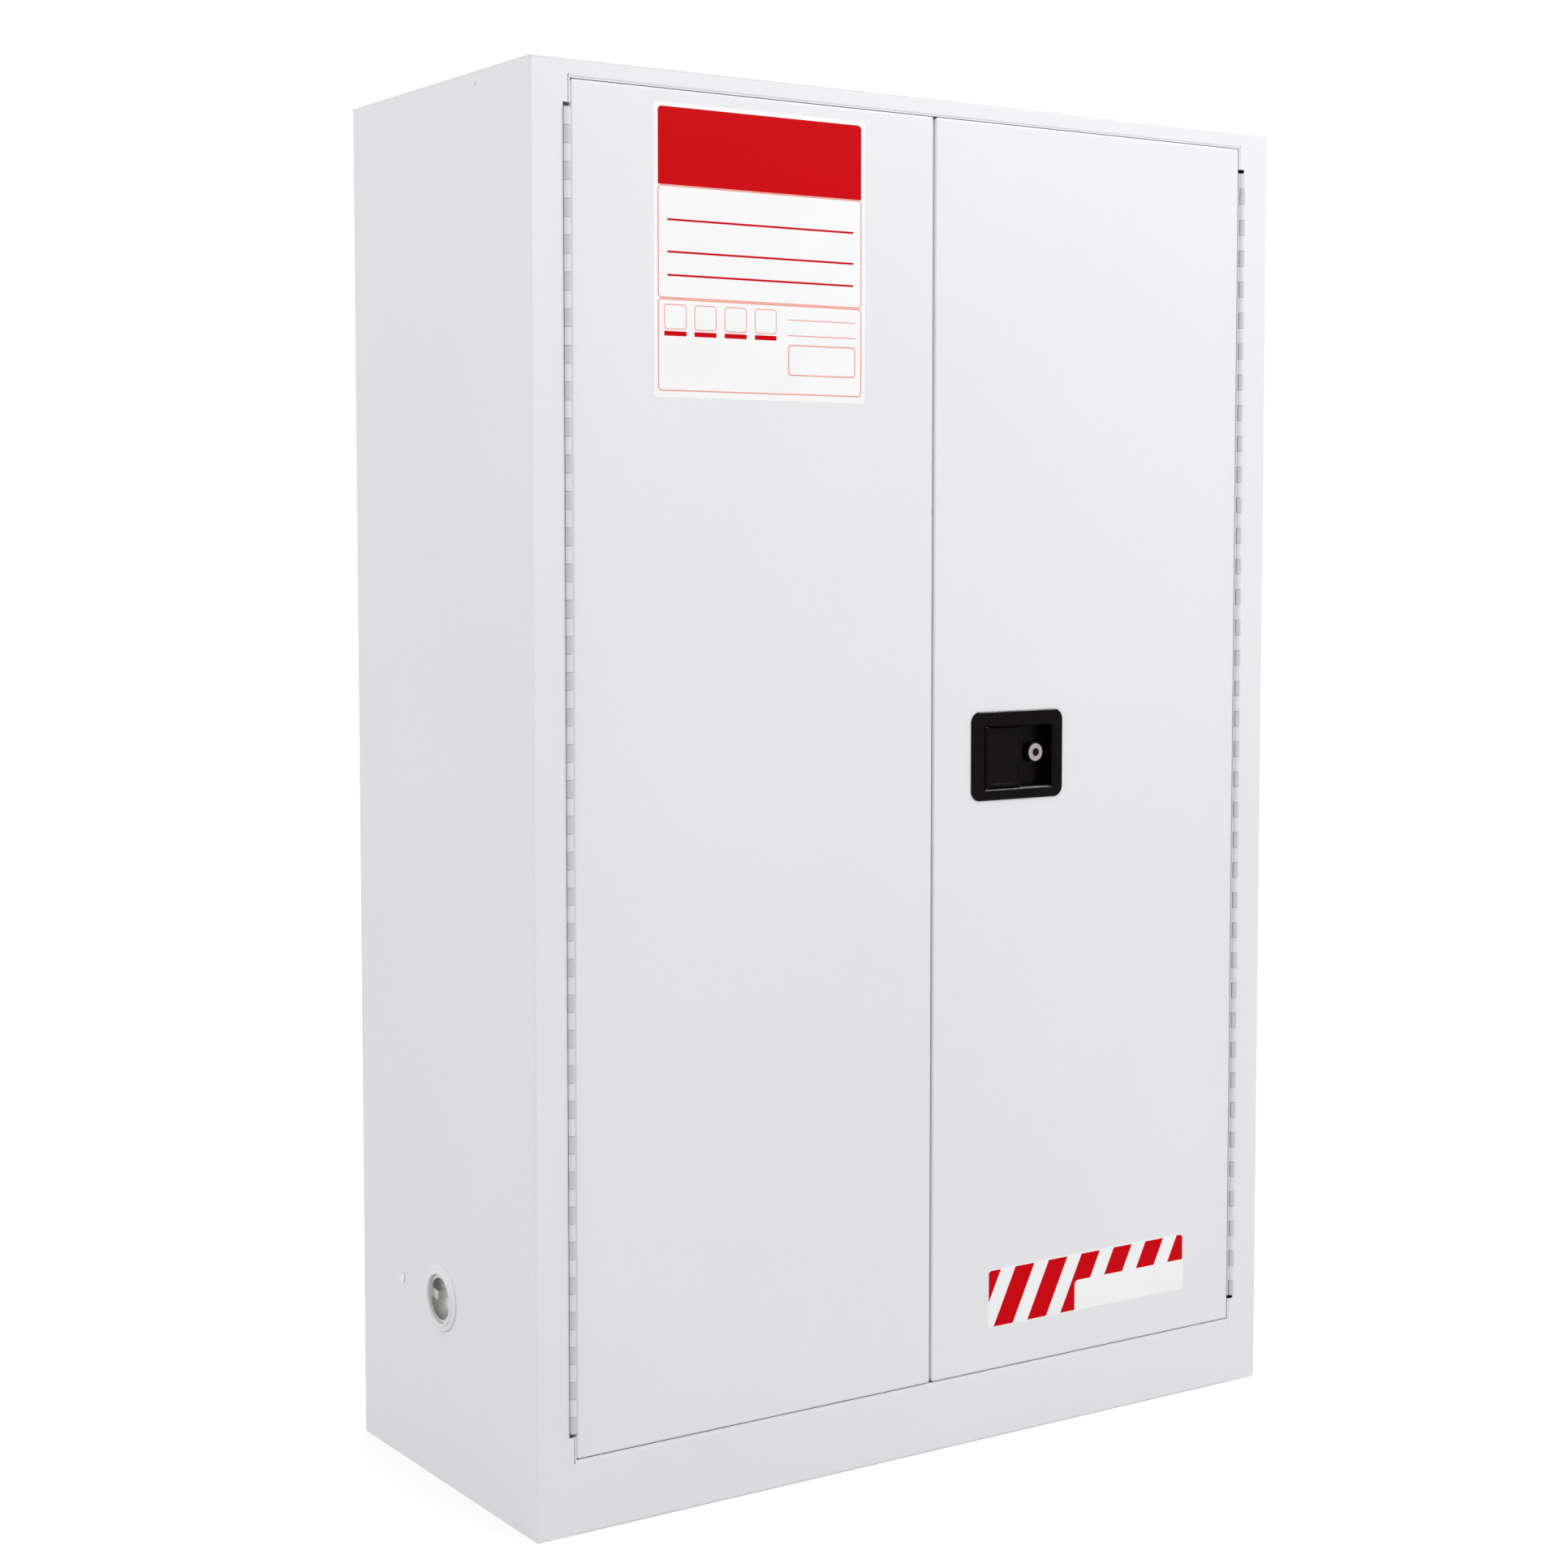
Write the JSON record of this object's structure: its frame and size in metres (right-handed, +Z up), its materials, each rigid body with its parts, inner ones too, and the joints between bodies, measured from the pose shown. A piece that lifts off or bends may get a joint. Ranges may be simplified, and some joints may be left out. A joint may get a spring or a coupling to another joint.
{
  "type": "double-wall chemical storage cabinet",
  "caption": "Tall white double-wall steel cabinet with two hinged doors, a recessed paddle latch with lock, plugged side vents, folded shelves and a leakproof sump floor.",
  "frame": {"origin": "middle of the base on the floor", "axes": "+X to the right seen from the front, +Y to the back, +Z up; the doors face -Y"},
  "size_m": [1.1, 0.4645, 1.65],
  "materials": {
    "paint": "white powder coat, smooth satin",
    "liner": "pale grey powder coat, satin",
    "zinc": "zinc plated steel, matt",
    "galvanised": "galvanised sheet, fine spangle",
    "bright": "bright nickel plated",
    "spring_steel": "spring steel wire",
    "black": "black moulded plastic, fine satin",
    "white_vinyl": "white self-adhesive vinyl",
    "red_vinyl": "red print on vinyl"
  },
  "bodies": {
    "cabinet": {"outer_side_left": "paint", "outer_side_right": "paint", "outer_back": "paint", "outer_top": "paint", "outer_bottom": "paint", "head_rail": "paint", "sill_rail": "paint", "inner_side_left": "liner", "inner_side_right": "liner", "inner_back": "liner", "inner_top": "liner", "inner_floor": "liner", "floor_bearers": "zinc", "wall_spacers": "zinc", "shelf_standards_left": "zinc", "shelf_standards_right": "zinc", "shelf_hangers": "zinc", "hinge_frame_leaf_left": "paint", "hinge_frame_leaf_right": "paint", "hinge_pins": "zinc", "rod_keepers": "zinc", "vent_collar_left": "paint", "vent_collar_right": "paint", "flame_arresters": "zinc", "arrester_rings": "zinc", "ground_screw": "bright", "top_rivets": "paint", "foot_nuts": "zinc"},
    "left_door": {"left_door_skin": "paint", "left_door_tray": "liner", "left_door_stiffener": "zinc", "hinge_door_leaf_left": "paint", "closing_strip": "paint", "centre_keeper": "zinc"},
    "right_door": {"right_door_skin": "paint", "right_door_tray": "liner", "right_door_stiffener": "zinc", "hinge_door_leaf_right": "paint", "latch_housing": "black", "latch_clamp_frame": "zinc", "latch_nuts": "bright", "latch_pivot_pin": "zinc", "paddle_spring": "spring_steel", "bolt_guide": "zinc", "rod_guides": "zinc", "latch_access_cover": "liner", "lock_barrel": "bright"},
    "paddle": {"latch_paddle": "black"},
    "latch_slide": {"latch_slide": "zinc"},
    "upper_rod": {"upper_rod": "zinc"},
    "lower_rod": {"lower_rod": "zinc"},
    "lock": {"lock_plug": "bright"},
    "vent_plug_left": {"vent_plug_left": "zinc"},
    "vent_plug_right": {"vent_plug_right": "zinc"},
    "shelf_lower": {"shelf_lower": "galvanised"},
    "shelf_upper": {"shelf_upper": "galvanised"},
    "foot_front_left": {"foot_front_left": "zinc"},
    "foot_front_right": {"foot_front_right": "zinc"},
    "foot_rear_left": {"foot_rear_left": "zinc"},
    "foot_rear_right": {"foot_rear_right": "zinc"}
  },
  "joints": [
    {"name": "left_door_hinge", "type": "hinge", "parent": "cabinet", "child": "left_door", "pos_m": [-0.5, -0.231, 0.85], "axis": [0, 0, -1], "range_deg": [0, 175]},
    {"name": "right_door_hinge", "type": "hinge", "parent": "cabinet", "child": "right_door", "pos_m": [0.5, -0.231, 0.85], "axis": [0, 0, 1], "range_deg": [0, 175]},
    {"name": "latch_slide_travel", "type": "slide", "parent": "right_door", "child": "latch_slide", "axis": [1, 0, 0], "range_m": [0, 0.01175]},
    {"name": "paddle_pivot", "type": "hinge", "parent": "right_door", "child": "paddle", "pos_m": [0.0875, -0.2265, 0.855], "axis": [0, 0, -1], "range_deg": [0, 30.05], "stiffness_Nm_per_rad": 0.8, "springref_deg": -20.05},
    {"name": "upper_rod_travel", "type": "slide", "parent": "right_door", "child": "upper_rod", "axis": [0, 0, -1], "range_m": [0, 0.01177]},
    {"name": "lower_rod_travel", "type": "slide", "parent": "right_door", "child": "lower_rod", "axis": [0, 0, 1], "range_m": [0, 0.01177]},
    {"name": "lock_turn", "type": "hinge", "parent": "right_door", "child": "lock", "pos_m": [0.1697, -0.2195, 0.8583], "axis": [0, -1, 0], "range_deg": [-90, 0]},
    {"name": "vent_plug_left_travel", "type": "slide", "parent": "cabinet", "child": "vent_plug_left", "axis": [-1, 0, 0], "range_m": [0, 0.025]},
    {"name": "vent_plug_right_travel", "type": "slide", "parent": "cabinet", "child": "vent_plug_right", "axis": [1, 0, 0], "range_m": [0, 0.025]},
    {"name": "shelf_lower_lift", "type": "slide", "parent": "cabinet", "child": "shelf_lower", "axis": [0, 0, 1], "range_m": [0, 0.03]},
    {"name": "shelf_upper_lift", "type": "slide", "parent": "cabinet", "child": "shelf_upper", "axis": [0, 0, 1], "range_m": [0, 0.03]},
    {"name": "foot_front_left_travel", "type": "slide", "parent": "cabinet", "child": "foot_front_left", "axis": [0, 0, -1], "range_m": [0, 0.015]},
    {"name": "foot_front_right_travel", "type": "slide", "parent": "cabinet", "child": "foot_front_right", "axis": [0, 0, -1], "range_m": [0, 0.015]},
    {"name": "foot_rear_left_travel", "type": "slide", "parent": "cabinet", "child": "foot_rear_left", "axis": [0, 0, -1], "range_m": [0, 0.015]},
    {"name": "foot_rear_right_travel", "type": "slide", "parent": "cabinet", "child": "foot_rear_right", "axis": [0, 0, -1], "range_m": [0, 0.015]}
  ],
  "couplings": [
    {"joint": "paddle_pivot", "follows": "latch_slide_travel", "rad_per_m": 44.562},
    {"joint": "upper_rod_travel", "follows": "latch_slide_travel", "ratio": 1},
    {"joint": "lower_rod_travel", "follows": "latch_slide_travel", "ratio": 1}
  ]
}
